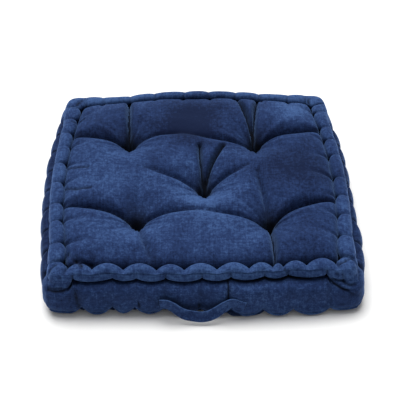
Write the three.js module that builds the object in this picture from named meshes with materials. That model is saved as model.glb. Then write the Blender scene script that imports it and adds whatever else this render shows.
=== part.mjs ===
import * as THREE from 'three';
import { mergeVertices } from 'three/addons/utils/BufferGeometryUtils.js';

// A square floor pillow in velvet, 600 mm from seam to seam and 115 mm deep: a top panel drawn down
// by five tufts and by the folds that run between them, a hand stitched rolled edge of plump lobes,
// a boxing wall that bellies out, and a cloth carry strap sewn to the front of the boxing.
// Millimetres, +Z up, front towards -Y. The origin is the middle of the flat underside.

const panel = {
  half: 254, // middle to corner of the groove inside the rolled edge, along X and along Y
  bow: { front: 8, right: 26, back: 22, left: 24 }, // how far the groove bows out at mid side
  grooveHeight: 77,
  crownHeight: 109,
  backLift: 7, // how much higher the middle of the back edge stands
  shoulder: 46, // width over which the crown comes down to the groove
  slideFade: 4, // how soon the grid lines, slid to meet the stitches, run even again
  fullness: 0.7, // 1 is a parabola, less is a rounder, plumper flank
};

const edge = {
  lobesPerSide: 9,
  stepsPerLobe: 6,
  cornerStart: 0.84, // part of the half side after which the section fans out round the corner
  cornerReach: 0.17, // how much further out the section stands at the corner itself
  cornerDraw: 0.55, // how hard the corner's own stitch pulls, next to the others
  // The two rows of lobes: centre [out from the groove, height] and radius, full and drawn in, and
  // the angles of the section's points round that centre
  upper: {
    full: [12.5, 87.5],
    drawn: [18.5, 85],
    fullRadius: 12.5,
    drawnRadius: 6.5,
    angles: [188, 112, 55],
  },
  lower: {
    full: [17, 79.5],
    drawn: [19, 83],
    fullRadius: 11.5,
    drawnRadius: 6.5,
    angles: [5, -55, -115],
  },
  seamAngles: [18, 62], // where the upper and the lower row meet at the seam
  seamSink: 1.6, // how far the stitching sinks between the two lobes
  grooveShift: 6, // how far a stitch pulls the groove outwards
  lobeSharpness: 2.6, // power of the scallop between two stitches
};

const wall = {
  centre: [20, 36], // middle of the belly, measured out from the groove and up from the floor
  reach: [25, 27],
  squareness: 0.8,
  angles: [58, 12, -30],
  drawnIn: 4, // how far a gather draws the belly in
  hem: { out: 39, height: 10, drawnIn: 11, lift: 7 },
  floorOut: 27, // where the underside starts
};

// Stitches that draw the rolled edge in, counter-clockwise seen from above, one row for each side
const stitches = {
  front: [-204, -146, -84, -33, 28, 90, 143, 195],
  right: [-191, -131, -71, -14, 59, 115, 160, 219],
  back: [206, 143, 88, 30, -26, -92, -148, -206],
  left: [203, 150, 102, 46, -19, -83, -136, -200],
};

const tufts = {
  backLeft: { at: [-145, 134], depth: 52, reach: 88 },
  backRight: { at: [122, 126], depth: 54, reach: 88 },
  middle: { at: [11, -20], depth: 58, reach: 92 },
  frontLeft: { at: [-124, -119], depth: 54, reach: 92 },
  frontRight: { at: [136, -126], depth: 56, reach: 92 },
};

// Folds of the top panel: from a tuft, through a middle point, to an end, with the depth and the
// half width at each end
const folds = [
  { from: 'backLeft', via: [-149, 200], to: [-151, 276], depth: [30, 16], width: [34, 26] },
  { from: 'backLeft', via: [-200, 146], to: [-276, 150], depth: [36, 20], width: [44, 40] },
  { from: 'backLeft', via: [-98, 150], to: [-24, 144], depth: [30, 8], width: [46, 44] },
  { from: 'backRight', via: [112, 198], to: [92, 274], depth: [30, 18], width: [30, 24] },
  { from: 'backRight', via: [120, 198], to: [140, 274], depth: [26, 15], width: [26, 22] },
  { from: 'backRight', via: [180, 158], to: [276, 158], depth: [36, 20], width: [44, 40] },
  { from: 'backRight', via: [54, 124], to: [-24, 144], depth: [26, 8], width: [44, 44] },
  { from: 'middle', via: [5, 40], to: [4, 98], depth: [36, 6], width: [34, 22] },
  { from: 'middle', via: [6, 40], to: [62, 110], depth: [38, 12], width: [36, 28] },
  { from: 'middle', via: [-54, 10], to: [-112, 24], depth: [36, 3], width: [46, 44] },
  { from: 'middle', via: [56, 10], to: [104, 28], depth: [34, 3], width: [44, 40] },
  { from: 'frontLeft', via: [-190, -84], to: [-278, -82], depth: [38, 20], width: [46, 42] },
  { from: 'frontLeft', via: [-70, -100], to: [6, -108], depth: [34, 10], width: [50, 48] },
  { from: 'frontLeft', via: [-112, -180], to: [-94, -258], depth: [20, 10], width: [30, 26] },
  { from: 'frontLeft', via: [-124, -60], to: [-120, -4], depth: [26, 2], width: [46, 40] },
  { from: 'frontRight', via: [130, -66], to: [120, 8], depth: [34, 4], width: [42, 34] },
  { from: 'frontRight', via: [190, -80], to: [278, -78], depth: [38, 20], width: [46, 42] },
  { from: 'frontRight', via: [76, -122], to: [6, -108], depth: [34, 10], width: [48, 48] },
  { from: 'frontRight', via: [140, -196], to: [136, -258], depth: [32, 22], width: [28, 24] },
];
const foldSteps = 14;
const foldFloor = 7; // rounding of the floor of a fold, so that its line runs smoothly
const foldGather = 8; // grid points this close to a fold are drawn towards its line
const blendPower = 3; // how softly dips that meet run into each other

const strap = {
  width: 23,
  thickness: 4,
  // Points of its middle line [X, Y, height]: sewn flat to the boxing at both ends, the loop between
  // them sags almost to the floor and stands out a little
  line: [
    [-81, -309.6, 41],
    [-66, -309.6, 41],
    [-55, -310.5, 38],
    [-44, -314, 29.5],
    [-30, -318, 22.5],
    [-14, -320.5, 19],
    [2, -321, 18.5],
    [16, -319.5, 22],
    [30, -315.5, 29.5],
    [44, -311, 39],
    [55, -309.8, 42],
    [68, -309.6, 38],
    [81, -309.6, 34],
  ],
  lean: 0.35, // how far the lower edge of the loop swings out, in radians
  upright: [20, 60], // distances from the middle between which the lean fades to none
  cornerCut: 0.6, // part of the half thickness that is cut off the section's corners
  steps: 48,
};

const velvet = new THREE.MeshStandardMaterial({ color: '#2b4478', roughness: 0.9, metalness: 0 });
const strapVelvet = new THREE.MeshStandardMaterial({ color: '#263c6c', roughness: 0.9, metalness: 0 });

const sideNames = ['front', 'right', 'back', 'left'];
const sideSteps = edge.lobesPerSide * edge.stepsPerLobe;
const mix = (a, b, t) => a + (b - a) * t;
const mixPoint = (a, b, t) => [mix(a[0], b[0], t), mix(a[1], b[1], t)];
const degrees = (angle) => (angle * Math.PI) / 180;

// Distance along one side of its step number i, the stitches falling on every sixth step
function alongSide(name, i) {
  const ends = name === 'front' || name === 'right' ? [-panel.half, panel.half] : [panel.half, -panel.half];
  const knots = [ends[0], ...stitches[name], ends[1]];
  const lobe = Math.min(Math.floor(i / edge.stepsPerLobe), edge.lobesPerSide - 1);
  return mix(knots[lobe], knots[lobe + 1], i / edge.stepsPerLobe - lobe);
}

// A dip's depth across its half width: full in the middle, its flanks as round as a filled cushion
function flank(distance, halfWidth) {
  const nearness = Math.max(0, 1 - Math.abs(distance) / halfWidth);
  return 1 - (1 - nearness ** 2) ** panel.fullness;
}

function bowAt(name, t) {
  return panel.bow[name] * (1 - (t / panel.half) ** 2);
}

// Extra height towards the middle of the back edge
function liftAt(x, y) {
  return panel.backLift * Math.max(0, y / panel.half) ** 2 * Math.max(0, 1 - (x / panel.half) ** 2);
}

function distanceToSide(name, x, y) {
  const lookup = {
    front: () => panel.half + bowAt(name, x) + y,
    right: () => panel.half + bowAt(name, y) - x,
    back: () => panel.half + bowAt(name, x) - y,
    left: () => panel.half + bowAt(name, y) + x,
  };
  return Math.max(0, lookup[name]());
}

// Nearest point of a fold's curve, its distance and the part of the curve where it lies
function nearestOnFold(fold, x, y) {
  const start = tufts[fold.from].at;
  let best = { gap: Infinity, t: 0, point: start };
  let before = start;
  for (let step = 1; step <= foldSteps; step += 1) {
    const t = step / foldSteps;
    const point = mixPoint(mixPoint(start, fold.via, t), mixPoint(fold.via, fold.to, t), t);
    const run = [point[0] - before[0], point[1] - before[1]];
    const share = ((x - before[0]) * run[0] + (y - before[1]) * run[1]) / (run[0] ** 2 + run[1] ** 2);
    const held = Math.min(1, Math.max(0, share));
    const nearest = [before[0] + run[0] * held, before[1] + run[1] * held];
    const gap = Math.hypot(x - nearest[0], y - nearest[1]);
    if (gap < best.gap) best = { gap, t: (step - 1 + held) / foldSteps, point: nearest };
    before = point;
  }
  return best;
}

function foldDip(fold, x, y) {
  const best = nearestOnFold(fold, x, y);
  const across = Math.hypot(best.gap, foldFloor) - foldFloor;
  return mix(fold.depth[0], fold.depth[1], best.t) * flank(across, mix(fold.width[0], fold.width[1], best.t));
}

function tuftDip({ at, depth, reach }, x, y) {
  return depth * flank(Math.hypot(x - at[0], y - at[1]), reach);
}

// Height of the top panel: the crown, less the shoulders, tufts and folds, which add up softly
function topHeight(x, y) {
  const shoulderDrop = panel.crownHeight - panel.grooveHeight;
  const dips = [
    ...sideNames.map((name) => shoulderDrop * flank(distanceToSide(name, x, y), panel.shoulder)),
    ...Object.values(tufts).map((tuft) => tuftDip(tuft, x, y)),
    ...folds.map((fold) => foldDip(fold, x, y)),
  ];
  const total = dips.reduce((sum, dip) => sum + dip ** blendPower, 0) ** (1 / blendPower);
  return panel.crownHeight + liftAt(x, y) - total;
}

// How far the edge is drawn in, 0 in the middle of a lobe and 1 at a stitch. The lobes under the
// seam stand half a lobe along from those above it.
function drawnAt(i, shift) {
  const place = i / edge.stepsPerLobe + shift;
  const fromMiddle = Math.abs(2 * (place - Math.floor(place)) - 1);
  const cornerLobe = Math.min(place, edge.lobesPerSide - place) < 0.5;
  return fromMiddle ** edge.lobeSharpness * (cornerLobe ? edge.cornerDraw : 1);
}

// Point of the groove at step i of a side, and the direction in which the edge leaves it
function grooveAt(name, i) {
  const t = alongSide(name, i);
  const out = panel.half + bowAt(name, t);
  const side = sideNames.indexOf(name);
  const along = name === 'front' || name === 'right' ? t : -t;
  const share = Math.max(0, Math.abs(t) / panel.half - edge.cornerStart) / (1 - edge.cornerStart);
  const bowSlope = Math.atan((2 * panel.bow[name] * along) / panel.half ** 2);
  const turn = mix(bowSlope, Math.sign(along) * degrees(45), share) + side * degrees(90);
  const facing = side * degrees(90);
  const shift = edge.grooveShift * drawnAt(i, 0);
  const direction = [Math.sin(turn), -Math.cos(turn)];
  const x = Math.sin(facing) * out + Math.cos(facing) * along + direction[0] * shift;
  const y = -Math.cos(facing) * out + Math.sin(facing) * along + direction[1] * shift;
  const stretch = 1 + edge.cornerReach * share ** 2;
  return { x, y, direction, shift, stretch };
}

// Section of the rolled edge and the boxing, as points [out from the groove, height]
function edgeSection(drawnUp, drawnDown) {
  const top = mixPoint(edge.upper.full, edge.upper.drawn, drawnUp);
  const topRadius = mix(edge.upper.fullRadius, edge.upper.drawnRadius, drawnUp);
  const low = mixPoint(edge.lower.full, edge.lower.drawn, drawnDown);
  const lowRadius = mix(edge.lower.fullRadius, edge.lower.drawnRadius, drawnDown);
  const round = (centre, radius, angle) => [
    centre[0] + radius * Math.cos(degrees(angle)),
    centre[1] + radius * Math.sin(degrees(angle)),
  ];
  const [seamTop, seamLow] = edge.seamAngles;
  const seam = mixPoint(round(top, topRadius, seamTop), round(low, lowRadius, seamLow), 0.5);
  const belly = (angle) => {
    const c = Math.cos(degrees(angle));
    const s = Math.sin(degrees(angle));
    const reach = wall.reach[0] - wall.drawnIn * drawnDown;
    return [
      wall.centre[0] + reach * Math.sign(c) * Math.abs(c) ** wall.squareness,
      wall.centre[1] + wall.reach[1] * Math.sign(s) * Math.abs(s) ** wall.squareness,
    ];
  };
  return [
    ...edge.upper.angles.map((angle) => round(top, topRadius, angle)),
    [seam[0] - edge.seamSink, seam[1]],
    ...edge.lower.angles.map((angle) => round(low, lowRadius, angle)),
    ...wall.angles.map(belly),
    [wall.hem.out - wall.hem.drawnIn * drawnDown, wall.hem.height + wall.hem.lift * drawnDown],
    [wall.floorOut, 0],
  ];
}

// Side and step of the border point at column u, row v of the top panel's grid
function borderStep(u, v) {
  if (v === 0) return ['front', u];
  if (u === sideSteps) return ['right', v];
  if (v === sideSteps) return ['back', sideSteps - u];
  return ['left', sideSteps - v];
}

// A grid point drawn towards the nearest fold, so that the fold's floor is a row of edges
function gatherToFold(x, y) {
  const nearest = folds
    .map((fold) => nearestOnFold(fold, x, y))
    .reduce((a, b) => (b.gap < a.gap ? b : a));
  return mixPoint([x, y], nearest.point, Math.max(0, 1 - nearest.gap / foldGather));
}

// Plan of the top panel: an even grid, bowed out with the sides, slid along them to the stitches and
// gathered to the folds
function panelPoint(u, v) {
  if (u === 0 || v === 0 || u === sideSteps || v === sideSteps) {
    const { x, y, shift } = grooveAt(...borderStep(u, v));
    return [x, y, topHeight(x, y) - shift / 2];
  }
  const p = (2 * u) / sideSteps - 1;
  const q = (2 * v) / sideSteps - 1;
  const fade = (near) => ((1 + near) / 2) ** panel.slideFade;
  const slide = (name, step, even, near) => (alongSide(name, step) - even) * fade(near);
  const px = p * panel.half;
  const py = q * panel.half;
  const bowX = (p > 0 ? panel.bow.right : panel.bow.left) * (1 - q ** 2);
  const bowY = (q > 0 ? panel.bow.back : panel.bow.front) * (1 - p ** 2);
  const slidX = px + p * bowX + slide('front', u, px, -q) + slide('back', sideSteps - u, px, q);
  const slidY = py + q * bowY + slide('right', v, py, p) + slide('left', sideSteps - v, py, -p);
  const [x, y] = gatherToFold(slidX, slidY);
  return [x, y, topHeight(x, y)];
}

function closedMesh(positions, triangles, name, material) {
  const geometry = new THREE.BufferGeometry();
  geometry.setAttribute('position', new THREE.Float32BufferAttribute(positions, 3));
  geometry.setIndex(triangles);
  const merged = mergeVertices(geometry, 1e-3);
  merged.computeVertexNormals();
  const mesh = new THREE.Mesh(merged, material);
  mesh.name = name;
  return mesh;
}

function makePillow() {
  const positions = [];
  const triangles = [];
  const push = (point) => positions.push(...point) / 3 - 1;
  const quad = (a, b, c, d) => {
    // Split along the diagonal that is more level, so that the folds run on smoothly
    const drop = (m, n) => Math.abs(positions[3 * m + 2] - positions[3 * n + 2]);
    if (drop(a, c) <= drop(b, d)) triangles.push(a, b, c, a, c, d);
    else triangles.push(a, b, d, b, c, d);
  };

  const grid = [];
  for (let v = 0; v <= sideSteps; v += 1) {
    grid.push([]);
    for (let u = 0; u <= sideSteps; u += 1) grid[v].push(push(panelPoint(u, v)));
  }
  for (let v = 0; v < sideSteps; v += 1) {
    for (let u = 0; u < sideSteps; u += 1) {
      quad(grid[v][u], grid[v][u + 1], grid[v + 1][u + 1], grid[v + 1][u]);
    }
  }

  const columns = [];
  sideNames.forEach((name, side) => {
    for (let i = 0; i < sideSteps; i += 1) {
      const { x, y, direction, shift, stretch } = grooveAt(name, i);
      const back = sideSteps - i;
      const start = [grid[0][i], grid[i][sideSteps], grid[sideSteps][back], grid[back][0]][side];
      const section = edgeSection(drawnAt(i, 0), drawnAt(i, 0.5));
      const column = section.map(([out, z]) => {
        const reach = (out - shift) * stretch;
        const lift = (liftAt(x, y) * z) / panel.crownHeight;
        return push([x + direction[0] * reach, y + direction[1] * reach, z + lift]);
      });
      columns.push([start, ...column]);
    }
  });
  const rows = columns[0].length;
  columns.forEach((column, c) => {
    const next = columns[(c + 1) % columns.length];
    for (let r = 0; r + 1 < rows; r += 1) quad(column[r], column[r + 1], next[r + 1], next[r]);
  });

  // The underside is one flat face, closed over the ends of the sections
  const rim = columns.map((column) => column[rows - 1]);
  const outline = rim.map((index) => new THREE.Vector2(positions[3 * index], positions[3 * index + 1]));
  for (const [a, b, c] of THREE.ShapeUtils.triangulateShape(outline, [])) {
    triangles.push(rim[a], rim[c], rim[b]);
  }
  return closedMesh(positions, triangles, 'pillow', velvet);
}

function makeStrap() {
  const positions = [];
  const triangles = [];
  const half = [strap.width / 2, strap.thickness / 2];
  const corner = half[1] * strap.cornerCut;
  const section = [
    [-half[0] + corner, -half[1]],
    [half[0] - corner, -half[1]],
    [half[0], -half[1] + corner],
    [half[0], half[1] - corner],
    [half[0] - corner, half[1]],
    [-half[0] + corner, half[1]],
    [-half[0], half[1] - corner],
    [-half[0], -half[1] + corner],
  ];
  const sides = section.length;
  const line = new THREE.CatmullRomCurve3(strap.line.map((point) => new THREE.Vector3(...point)));
  for (let step = 0; step <= strap.steps; step += 1) {
    const centre = line.getPointAt(step / strap.steps);
    const ahead = line.getTangentAt(step / strap.steps);
    const upright = THREE.MathUtils.smoothstep(Math.abs(centre.x), ...strap.upright);
    const lean = strap.lean * (1 - upright);
    const up = new THREE.Vector3(0, Math.sin(lean), Math.cos(lean));
    up.addScaledVector(ahead, -up.dot(ahead)).normalize();
    const through = new THREE.Vector3().crossVectors(up, ahead);
    for (const [w, h] of section) {
      const point = centre.clone().addScaledVector(up, w).addScaledVector(through, h);
      positions.push(point.x, point.y, point.z);
    }
  }
  for (let step = 0; step < strap.steps; step += 1) {
    for (let k = 0; k < sides; k += 1) {
      const a = step * sides + k;
      const b = step * sides + ((k + 1) % sides);
      triangles.push(a, a + sides, b + sides, a, b + sides, b);
    }
  }
  const last = strap.steps * sides;
  for (let k = 1; k + 1 < sides; k += 1) {
    triangles.push(0, k, k + 1);
    triangles.push(last, last + k + 1, last + k);
  }
  return closedMesh(positions, triangles, 'carry_strap', strapVelvet);
}

const floorPillow = new THREE.Group();
floorPillow.add(makePillow(), makeStrap());

export default floorPillow;
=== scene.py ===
import math
import bpy
import numpy as np
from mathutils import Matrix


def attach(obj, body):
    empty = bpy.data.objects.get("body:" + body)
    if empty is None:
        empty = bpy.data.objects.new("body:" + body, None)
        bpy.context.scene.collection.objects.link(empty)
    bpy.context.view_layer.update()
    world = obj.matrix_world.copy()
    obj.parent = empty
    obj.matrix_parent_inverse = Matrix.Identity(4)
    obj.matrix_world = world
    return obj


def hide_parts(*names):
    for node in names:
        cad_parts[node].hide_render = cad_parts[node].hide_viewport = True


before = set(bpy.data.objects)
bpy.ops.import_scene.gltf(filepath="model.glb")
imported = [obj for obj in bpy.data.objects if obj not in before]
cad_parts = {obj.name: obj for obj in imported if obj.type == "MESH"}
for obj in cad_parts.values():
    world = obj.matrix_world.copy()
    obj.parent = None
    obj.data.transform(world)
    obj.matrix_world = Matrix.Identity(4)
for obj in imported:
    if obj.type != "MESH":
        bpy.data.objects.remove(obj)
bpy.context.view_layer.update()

mm = 0.001
print("frame loaded")

# Camera: 40 degrees down on to the pillow from in front
cameraView = {
    "place": (-0.0355, -1.6448, 1.4108),  # metres
    "down": 39.93,  # degrees below level
    "turn": 1.33,  # degrees to the right of straight ahead
    "focal": 92.28,  # mm, on a sensor of this width
    "sensor": 36.0,
}


# A camera at its place, turned down from level and then to the right
def makeCamera(view):
    data = bpy.data.cameras.new("camera")
    data.sensor_width = view["sensor"]
    data.lens = view["focal"]
    camera = bpy.data.objects.new("camera", data)
    camera.location = view["place"]
    camera.rotation_euler = (math.radians(90 - view["down"]), 0, math.radians(-view["turn"]))
    bpy.context.scene.collection.objects.link(camera)
    bpy.context.scene.camera = camera


makeCamera(cameraView)
print("camera set")

# The pillow, in millimetres. The groove is the line where the top panel meets the rolled edge
pillow = {
    "corners": ((-254, -249), (257, -246), (256, 265), (-256, 265)),  # of the groove, from the front left
    "cornerRound": 5.0,  # how softly the groove turns at a corner
    "squareness": 4.0,  # power of the rounded square that the edge makes there
    "grooveHeight": 77.0,
    "crownHeight": 109.0,
    "backLift": 7.0,  # extra height in the middle of the back edge
    "shoulder": {"steep": 0.5, "narrow": 4.5, "wide": 62.0},
    "fullness": 0.62,  # below 1 the flanks of a fold are round and plump
    "blend": 3.0,  # how softly dips run into each other
    "lumps": ((1.6, 70, 5), (0.8, 26, 6)),  # uneven filling: height, size and seed
    "pathSteps": 2000,  # points of the groove along each side
    "steps": 200,  # grid steps along each side
    "underStep": 4,  # grid steps of the top to one of the underside
    "underShare": 0.985,  # size of the underside's grid against the panel's
}
# Grid columns stand closer at the corners and the stitches: how much closer, and over what width
columns = {"corner": 5, "cornerWidth": 9, "stitch": 0.9, "stitchWidth": 4}

# Hand stitches on each side, from the front round to the left, by their X or Y: of the upper and
# lower lobes and of the hem, which else has those of the lower. Pulls and nicks left out are 1
sides = (
    {"axis": 0, "bow": 12, "sharpness": 2.0, "pull": 0.9, "crestPull": 1.0, "lowerPull": 1.0,
     "upper": (-204, -146, -84, -33, 28, 88, 132, 152, 195),
     "lower": (-237, -165, -121, -67, 0, 53, 115, 159, 230),
     "hem": (-223, -167, -126, -70, -4, 53, 112, 168, 236),
     "hemPull": (1.0, 1.0, 0.9, 0.8, 0.8, 0.8, 0.7, 0.7, 0.6),
     "upperNick": (0.4, 0.3, 0.5, 0.3, 0.5, 0.3, 0.3, 1.0, 0.4),
     "lowerNick": (1.3, 0.3, 0.3, 1.0, 1.0, 1.0, 0.6, 0.7, 1.3),
     "lean": (0, 0, 3, 0, 0, 4, 2, 9, -4)},
    {"axis": 1, "bow": 22, "sharpness": 3.2, "pull": 0.7, "crestPull": 0.4, "lowerPull": 1.0,
     "upper": (-184, -124, -64, -7, 66, 122, 167, 226),
     "lower": (-232, -172, -108, -50, 8, 76, 135, 195),
     "lean": (5, -4, 6, 3, -5, 5, 4, 3)},
    {"axis": 0, "bow": 16, "sharpness": 2.4, "pull": 0.4, "crestPull": 0.8, "lowerPull": 0.8,
     "upper": (206, 143, 88, 30, -26, -92, -148, -206),
     "lower": (232, 175, 115, 59, 2, -59, -120, -177, -232),
     "upperNick": 0.8,
     "lean": (4, -4, 3, -3, 4, -4, 3, -3)},
    {"axis": 1, "bow": 23, "sharpness": 3.2, "crestPull": 0.4, "lowerPull": 1.0,
     "pull": (0.7, 0.7, 0.3, 0.75, 0.7, 0.7, 0.7, 0.7),
     "upper": (210, 157, 109, 53, -12, -76, -129, -193),
     "lower": (240, 186, 126, 60, -2, -62, -124, -183, -238),
     "upperNick": (1.0, 1.0, 0.3, 1.0, 1.0, 1.0, 1.0, 1.0),
     "lean": (-5, 4, -6, -3, 5, -5, -4, -3)},
)

# Rolled edge: two rows of lobes, each full in its middle and drawn in at a stitch, by distances out
# from the groove and heights
edge = {
    "upper": {"full": (12.0, 90.5), "drawn": (14.0, 82.0), "fullSize": (12.5, 13.0), "drawnSize": (8.0, 6.5),
              "arc": (206, 14), "rows": 15},
    "lower": {"full": (15.0, 81.0), "drawn": (16.0, 85.0), "fullSize": (11.0, 11.0), "drawnSize": (8.0, 7.5),
              "arc": (48, -128), "rows": 11},
    "lobe": {"width": 52.0, "least": 0.45, "most": 1.1},  # a lobe this wide is full, a shorter one is lower
    "seam": (23.4, 92.3),  # where the two rows meet
    "upperToSeam": (0.35, 1), "lowerToSeam": (0.25, 0), "seamPower": 1.5,  # shares where they run to it
    "seamStep": (0.6, 0.8),  # how far in and up from it the upper row ends
    "seamDraw": (1.6, 2.0),  # how far a lower stitch pulls the seam in, an upper one down
    # Rows between the two: share of the way down, how far out each stands and how much painted shade it has
    "seamRows": ((0.25, -0.4, 0.2), (0.5, 0.6, 0.0), (0.75, -0.4, 0.25)),
    "seamClear": (22, 48),  # none of that this near a corner, and all of it this far away
    # Crease at a stitch: its depth as a part of either lobe, its width and its painted shade. In the upper
    # row the depth and the shade fade between two shares of the way down
    "nick": {"cut": (2.4 / 13, 0.2), "width": 2.2, "dark": 0.6,
             "cutFade": (1.3, 0.3), "darkFade": (1.2, 0.2)},
    # Painted shade fades out below the groove and sets in at the foot of the lower row
    "grooveDark": (0.25, 0), "lowerDark": (5 / 6, 1),  # where the upper and the lower row turn dark
    "leanFrom": 0.3, "crestBy": 0.5,  # parts of the upper row where a lean is none, the crest's pull holds
    # On each side: how far a stitch pulls the groove outwards and how far a full lobe pushes it in
    "grooveShift": (5.0, 7.0, 5.0, 7.0), "groovePush": (0.0, 4.0, 0.0, 4.5),
    "pushClear": (14, 34), "pushPower": 1.5,  # no push this near a corner, all of it this far away
    "grooveSink": (0.5, 2.0),  # for each millimetre that it is pulled, and at a stitch
    # At each corner a low piece fans out between two creases: how far they stand from the corner,
    # how hard they pull, how wide they are, how full the piece is and how much lower it hangs
    "fanStart": (5, 7, 9, 9), "fanEnd": (7, 9, 9, 9),
    "pullStart": (0.9, 0.8, 0.8, 0.8), "pullEnd": (0.9, 0.8, 0.8, 0.75),
    "fanCrease": 2.0,
    "piece": (0.5, 0.5, 0.7, 0.8),
    "sag": (15, 13, 4, 4), "sagOut": 0.25, "sagPower": 0.7,
}

# Boxing wall below the roll, and the lower rolled edge that the pillow's weight presses flat
boxing = {
    "full": {"centre": (23.5, 36.0), "reach": (20.5, 33.2, 31.0)},  # reach: out, up and down
    "drawn": {"centre": (22.5, 38.0), "reach": (16.0, 36.0, 22.0)},
    "squareness": 0.66,
    "arc": (100, -62),
    "rows": 18,
    "bulgeRow": 10,  # the row that stands out furthest
    "bead": {"full": (36.0, 6.5), "drawn": (30.0, 19.5), "fullSize": (3.4, 3.2), "drawnSize": (2.4, 2.4),
             "arc": (70, -120), "rows": 7, "under": 3},  # under: last rows, which turn back in
    "foot": {"full": (22.5, 6.2), "drawn": (20.0, 6.0), "fullSize": (5.4, 5.8), "drawnSize": (4.0, 4.2),
             "arc": (60, -95), "rows": 7},
    "floor": ((12.0, 0.3), (5.0, 0.0)),  # the last two rows, on the floor
    "cornerRows": (4, 8),  # row of the lower lobes and of the wall between which a corner is smooth
    "cornerSmooth": 1.3,  # above 1 the smooth stretch is longer
    "cornerLift": 5.0,  # how far the foot is drawn in under a corner
    "liftFrom": 8, "liftPower": 0.7,  # from this far out, and growing so towards the floor
    "sagShare": 0.8,  # the wall's part of the sag at a corner
    "draw": (0.2, 1.2, 0.8, 1.2), "drawEven": 1.2,  # how much of its height is drawn in between the lobes
    "gather": (1.2, 5.5, 2.4, 5.5),  # depth of the crease down the wall at each stitch
    "gatherPower": 0.6,  # below 1 it is wider than the stitch's own
    # The dark values below are painted shade: in the gathers and creases, on the foot, and at the wall's top
    # under the roll
    "gatherDark": 0.147,  # how dark it is for each millimetre of its depth
    "creaseDark": 0.25,  # the same for the other creases of the wall
    "creaseFade": 8.0,  # height over which those run out
    "footDark": 0.6, "topDark": (1 / 14, 0),  # and the share of the wall's way down where its top is dark
}
# Heights, or distances out, at which a change to the section starts and at which it is full
fades = {"rollReach": (0, 24), "rollRise": (70, 90), "wallReach": (0, 36), "hemReach": (30, 6),
         "gather": (8, 20), "sag": (20, 66), "cornerLift": (24, 0)}
# Rows of the section, counted from the groove, at which its lower parts start
firstLower = edge["upper"]["rows"] + len(edge["seamRows"])
firstWall = firstLower + edge["lower"]["rows"]
firstBead = firstWall + boxing["rows"]

# How much further out and up the roll, the wall and the hem stand than their sections, in
# millimetres, at even steps along each side, starting from its corner
reachSteps = 6
reaches = {
    "rollReach": (8, 0, 0, 0, 0, 0, 9, 1, 0, 0, 0, 0, 11, 1, 0, 0, 0, 0, 13, 2, 0, 0, 0, 0),
    "rollRise": (0,) * 12 + (-3, -4, -1, 0, -1, -5, -2) + (0,) * 5,
    "wallReach": (6, 1, 0, 1, 8, 9, 10, 6, -2, -3, 0, 2, 2, 2, 0, 0, 0, 2, 8, 5, 4, 1, 1, 1),
    "hemReach": (3, 2, 0, 2, 2, 6, 8) + (0,) * 17,
}
footReach = {"side": 0, "at": 78, "width": 34, "reach": 15}  # where the foot swells out

tufts = {
    "backLeft": {"at": (-146, 127), "bowl": 40, "reach": 92, "pit": 15},
    "backRight": {"at": (122, 119), "bowl": 42, "reach": 92, "pit": 15},
    "middle": {"at": (11, -27), "bowl": 45, "reach": 100, "pit": 22},
    "frontLeft": {"at": (-124, -126), "bowl": 42, "reach": 98, "pit": 15},
    "frontRight": {"at": (136, -133), "bowl": 45, "reach": 98, "pit": 14},
}
bowlPower = 1.9
pitWidth = 10.5
# Painted shade: in each bowl behind its tuft, along the groove, and in creases and pits
tuftShade = {"dark": 0.62, "behind": 13, "reach": 25}  # the shadow in a bowl, behind its tuft
grooveShade = 3.2  # how far on to the panel the dark of the groove reaches
darkDepth = {"crease": 8.0, "pit": 9.0}  # depth at which each is quite dark

# Folds of the top panel: from a tuft, through a middle point, to an end, with the depth and the
# half width at each end, and the depth of the crease in its floor
folds = (
    ("backLeft", (-147, 108), (-147, 88), (34, 2), (16, 18), 3),
    ("backRight", (124, 100), (125, 80), (34, 2), (16, 18), 3),
    ("middle", (12, -42), (12, -58), (34, 2), (16, 18), 3),
    ("frontLeft", (-125, -139), (-124, -153), (32, 2), (16, 18), 3),
    ("backLeft", (-149, 200), (-151, 276), (30, 16), (15, 11), 10),
    ("backLeft", (-200, 144), (-276, 150), (32, 20), (32, 36), 5),
    ("backLeft", (-98, 149), (-26, 142), (28, 6), (34, 40), 2),
    ("backRight", (116, 198), (90, 276), (30, 16), (15, 11), 10),
    ("backRight", (122, 198), (139, 276), (26, 15), (11, 10), 10),
    ("backRight", (180, 156), (276, 158), (32, 20), (32, 36), 5),
    ("backRight", (54, 120), (-26, 142), (26, 6), (32, 40), 2),
    ("middle", (4, 36), (4, 96), (34, 6), (15, 8), 9),
    ("middle", (19, 32), (56, 101), (34, 6), (15, 11), 9),
    ("middle", (-54, 8), (-112, 24), (34, 3), (32, 40), 2),
    ("middle", (56, 8), (104, 28), (32, 3), (30, 36), 2),
    ("frontLeft", (-190, -84), (-278, -82), (34, 20), (32, 38), 6),
    ("frontLeft", (-70, -100), (6, -108), (32, 9), (34, 46), 2),
    ("frontLeft", (-112, -180), (-94, -258), (20, 10), (22, 22), 3),
    ("frontLeft", (-124, -60), (-120, -4), (24, 2), (26, 36), 0),
    ("frontRight", (130, -66), (120, 8), (32, 4), (28, 32), 2),
    ("frontRight", (190, -80), (278, -78), (34, 20), (32, 38), 6),
    ("frontRight", (76, -122), (6, -108), (32, 9), (32, 46), 2),
    ("frontRight", (141, -196), (137, -258), (32, 22), (19, 17), 8),
)
foldSteps = 20
foldFloor = 1.8  # rounding of the floor of a fold
creaseWidth = 2.8  # how fast a crease fades sideways
gatherWidth = 4.0  # grid points this close to a fold are drawn on to its line

# Creases of the wall: side, place along it, lowest and highest point, depth, width and slant
wallCreases = (
    (0, 46, 26, 78, 5.0, 2.2, 0.03),
    (0, -226, 12, 62, 3.0, 4.0, -0.12),
    (0, -117, 24, 40, 4.5, 2.2, 0.0),
    (0, -6, 14, 32, 4.0, 2.4, 0.0),
    (0, -70, 16, 34, 3.0, 3.0, 0.2),
)
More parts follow.
